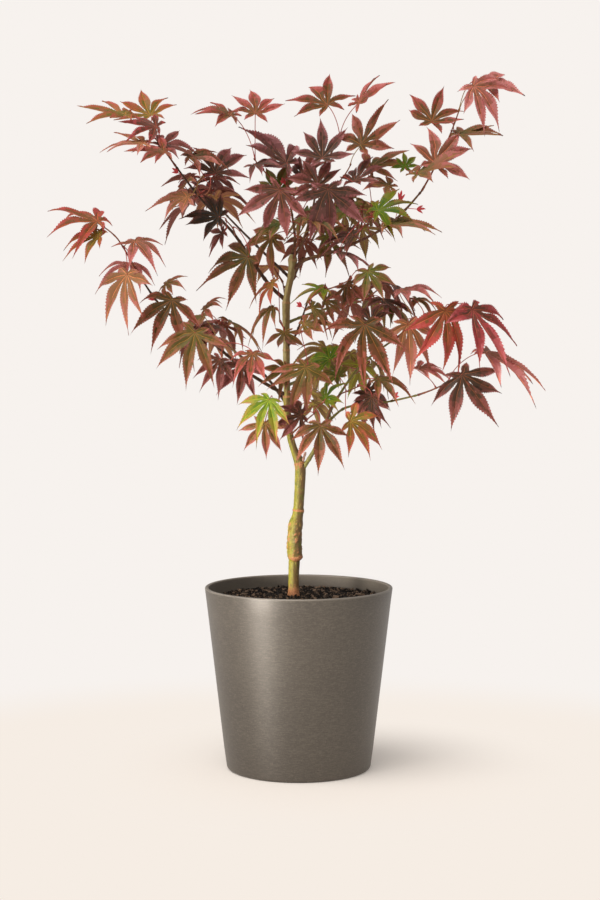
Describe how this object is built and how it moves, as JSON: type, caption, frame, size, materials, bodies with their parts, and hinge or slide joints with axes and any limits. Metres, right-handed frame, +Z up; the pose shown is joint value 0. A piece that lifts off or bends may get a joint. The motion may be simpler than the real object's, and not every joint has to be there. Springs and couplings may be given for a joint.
{
  "type": "potted japanese maple",
  "caption": "Young grafted maple in leaf: a slender trunk with spreading boughs and layered palmate autumn foliage, standing in a plain tapered round pot of compost.",
  "frame": {"origin": "centre of the pot's flat underside", "axes": "+Z up along the trunk, -Y towards the front of the crown as it is shown, +X to the right seen from the front"},
  "size_m": [0.5711, 0.3339, 0.8071],
  "materials": {
    "pot": "matt dark warm grey with a fine speckle",
    "soil": "loose dark compost",
    "bark_green": "smooth yellow-green young bark",
    "bark_brown": "smooth brown young bark",
    "foliage": "soft matt leaves in mixed autumn red, maroon, bronze and green"
  },
  "bodies": {
    "root": {"bough_back_high": "bark_brown", "bough_back_left": "bark_brown", "bough_back_low": "bark_brown", "bough_back_mid": "bark_brown", "bough_back_upper_left": "bark_brown", "bough_centre": "bark_brown", "bough_left_high": "bark_brown", "bough_left_low": "bark_brown", "bough_right_high": "bark_brown", "bough_right_low": "bark_brown", "bough_right_mid": "bark_brown", "bough_right_outer": "bark_brown", "bough_top_left": "bark_brown", "bough_top_mid": "bark_brown", "foliage_back_high": "foliage", "foliage_back_left": "foliage", "foliage_back_low": "foliage", "foliage_back_mid": "foliage", "foliage_back_upper_left": "foliage", "foliage_centre": "foliage", "foliage_crown_front": "foliage", "foliage_crown_right": "foliage", "foliage_front_low": "foliage", "foliage_front_mid": "foliage", "foliage_left_inner": "foliage", "foliage_left_outer": "foliage", "foliage_left_tip": "foliage", "foliage_right_front": "foliage", "foliage_right_low": "foliage", "foliage_right_red": "foliage", "foliage_right_tip_low": "foliage", "foliage_right_top": "foliage", "foliage_shade_back": "foliage", "foliage_shade_back_low": "foliage", "foliage_shade_centre": "foliage", "foliage_shade_low": "foliage", "foliage_shade_right": "foliage", "foliage_top_centre": "foliage", "foliage_top_left": "foliage", "foliage_top_mid": "foliage", "foliage_top_right": "foliage", "foliage_trunk_left_low": "foliage", "foliage_trunk_left_mid": "foliage", "foliage_upper_left_inner": "foliage", "foliage_upper_left_mid": "foliage", "foliage_upper_left_tip": "foliage", "pot": "pot", "soil": "soil", "trunk": "bark_green"}
  },
  "joints": []
}
